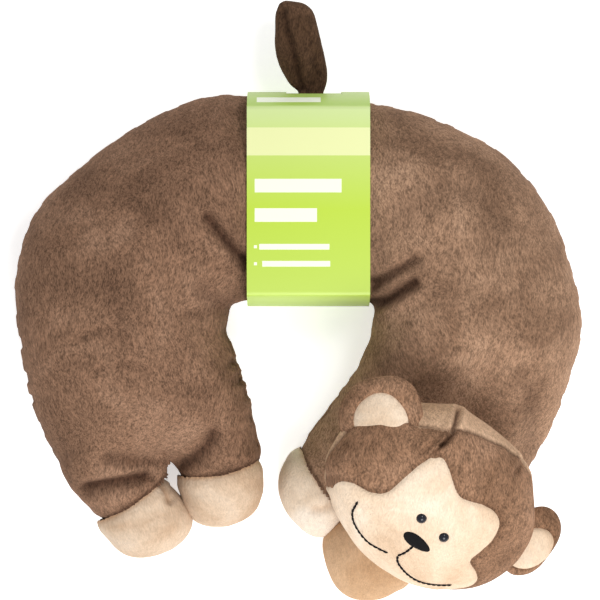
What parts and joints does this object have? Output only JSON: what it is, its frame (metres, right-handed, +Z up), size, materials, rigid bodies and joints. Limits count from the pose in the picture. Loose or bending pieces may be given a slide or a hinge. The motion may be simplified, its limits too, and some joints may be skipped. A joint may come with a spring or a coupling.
{
  "type": "stuffed monkey travel pillow",
  "caption": "Stuffed monkey shaped as a U travel pillow: bead-filled body that bends round a neck, with sewn legs, head, ears and tail, in a plain card sleeve.",
  "frame": {"origin": "middle of the footprint, on the surface that the pillow lies on", "axes": "+Z up out of the pillow's flat side, +Y from the paws to the tail, +X towards the head's side"},
  "size_m": [0.3046, 0.3232, 0.1204],
  "materials": {
    "brown_plush": "short minky pile, matt",
    "cream_plush": "short minky pile, matt",
    "black_thread": "satin-stitched embroidery thread",
    "black_plastic": "gloss",
    "washer_plastic": "plain moulded",
    "fibre_fill": "loose polyester fibre",
    "bead_fill": "polystyrene microbeads",
    "green_card": "printed card, satin"
  },
  "bodies": {
    "back": {"back_top_panel": "brown_plush", "back_bottom_panel": "brown_plush", "back_bead_fill": "bead_fill"},
    "hind_half": {"hind_top_panel": "brown_plush", "hind_bottom_panel": "brown_plush", "hind_bead_fill": "bead_fill"},
    "front_half": {"front_top_panel": "brown_plush", "front_bottom_panel": "brown_plush", "front_bead_fill": "bead_fill"},
    "outer_hind_leg": {"outer_hind_leg_cover": "brown_plush", "outer_hind_paw_cover": "cream_plush", "outer_hind_leg_fill": "fibre_fill"},
    "inner_hind_leg": {"inner_hind_leg_cover": "brown_plush", "inner_hind_paw_cover": "cream_plush", "inner_hind_leg_fill": "fibre_fill"},
    "inner_front_leg": {"inner_front_leg_cover": "brown_plush", "inner_front_paw_cover": "cream_plush", "inner_front_leg_fill": "fibre_fill"},
    "outer_front_leg": {"outer_front_leg_cover": "brown_plush", "outer_front_paw_cover": "cream_plush", "outer_front_leg_fill": "fibre_fill"},
    "neck": {"neck_gather": "brown_plush"},
    "head": {"head_front_panel": "brown_plush", "head_back_panel": "brown_plush", "head_fibre_fill": "fibre_fill", "face_patch": "cream_plush", "left_eye": "black_plastic", "right_eye": "black_plastic", "left_eye_washer": "washer_plastic", "right_eye_washer": "washer_plastic", "nose_embroidery": "black_thread", "mouth_line": "black_thread", "left_smile": "black_thread", "right_smile": "black_thread"},
    "left_ear": {"left_ear_back": "brown_plush", "left_ear_front_rim": "brown_plush", "left_ear_inner": "cream_plush"},
    "right_ear": {"right_ear_back": "brown_plush", "right_ear_front_rim": "brown_plush", "right_ear_inner": "cream_plush"},
    "tail": {"tail_cover": "brown_plush", "tail_fill": "fibre_fill"},
    "sleeve": {"card_sleeve": "green_card"}
  },
  "joints": [
    {"name": "hind_half_spread", "type": "hinge", "parent": "back", "child": "hind_half", "pos_m": [-0.029, 0.112, 0.034], "axis": [0, 0, -1], "range_deg": [0, 20], "stiffness_Nm_per_rad": 1},
    {"name": "front_half_spread", "type": "hinge", "parent": "back", "child": "front_half", "pos_m": [0.038, 0.11, 0.034], "axis": [0, 0, 1], "range_deg": [0, 20], "stiffness_Nm_per_rad": 1},
    {"name": "outer_hind_leg_flex", "type": "hinge", "parent": "hind_half", "child": "outer_hind_leg", "pos_m": [-0.101, -0.0943, 0.02], "axis": [-0.8387, -0.5446, 0], "range_deg": [-12, 15], "stiffness_Nm_per_rad": 0.15},
    {"name": "inner_hind_leg_flex", "type": "hinge", "parent": "hind_half", "child": "inner_hind_leg", "pos_m": [-0.045, -0.0823, 0.02], "axis": [-0.9816, -0.1908, 0], "range_deg": [-12, 15], "stiffness_Nm_per_rad": 0.15},
    {"name": "inner_front_leg_flex", "type": "hinge", "parent": "front_half", "child": "inner_front_leg", "pos_m": [0.0235, -0.1, 0.0185], "axis": [-0.5664, 0.8241, 0], "range_deg": [-12, 3], "stiffness_Nm_per_rad": 0.15},
    {"name": "outer_front_leg_flex", "type": "hinge", "parent": "front_half", "child": "outer_front_leg", "pos_m": [0.0618, -0.1253, 0.0185], "axis": [-0.5519, 0.8339, 0], "range_deg": [-12, 3], "stiffness_Nm_per_rad": 0.15},
    {"name": "head_turn", "type": "hinge", "parent": "front_half", "child": "neck", "pos_m": [0.07, -0.094, 0.038], "axis": [0, 0, 1], "range_deg": [-20, 20], "stiffness_Nm_per_rad": 0.2},
    {"name": "head_nod", "type": "hinge", "parent": "neck", "child": "head", "pos_m": [0.07, -0.094, 0.0434], "axis": [-1, 0, 0], "range_deg": [-6, 8], "stiffness_Nm_per_rad": 0.5},
    {"name": "left_ear_flex", "type": "hinge", "parent": "head", "child": "left_ear", "pos_m": [0.04046, -0.05745, 0.10418], "axis": [1, 0, 0], "range_deg": [-15, 15], "stiffness_Nm_per_rad": 0.02},
    {"name": "right_ear_flex", "type": "hinge", "parent": "head", "child": "right_ear", "pos_m": [0.12126, -0.12816, 0.0712], "axis": [0.0349, -0.9058, -0.4224], "range_deg": [-15, 15], "stiffness_Nm_per_rad": 0.02},
    {"name": "tail_swing", "type": "hinge", "parent": "back", "child": "tail", "pos_m": [0.008, 0.1112, 0.034], "axis": [0, 0, 1], "range_deg": [-8, 8], "stiffness_Nm_per_rad": 0.02},
    {"name": "sleeve_slide", "type": "slide", "parent": "back", "child": "sleeve", "axis": [1, 0, 0], "range_m": [-0.004, 0.001]}
  ]
}
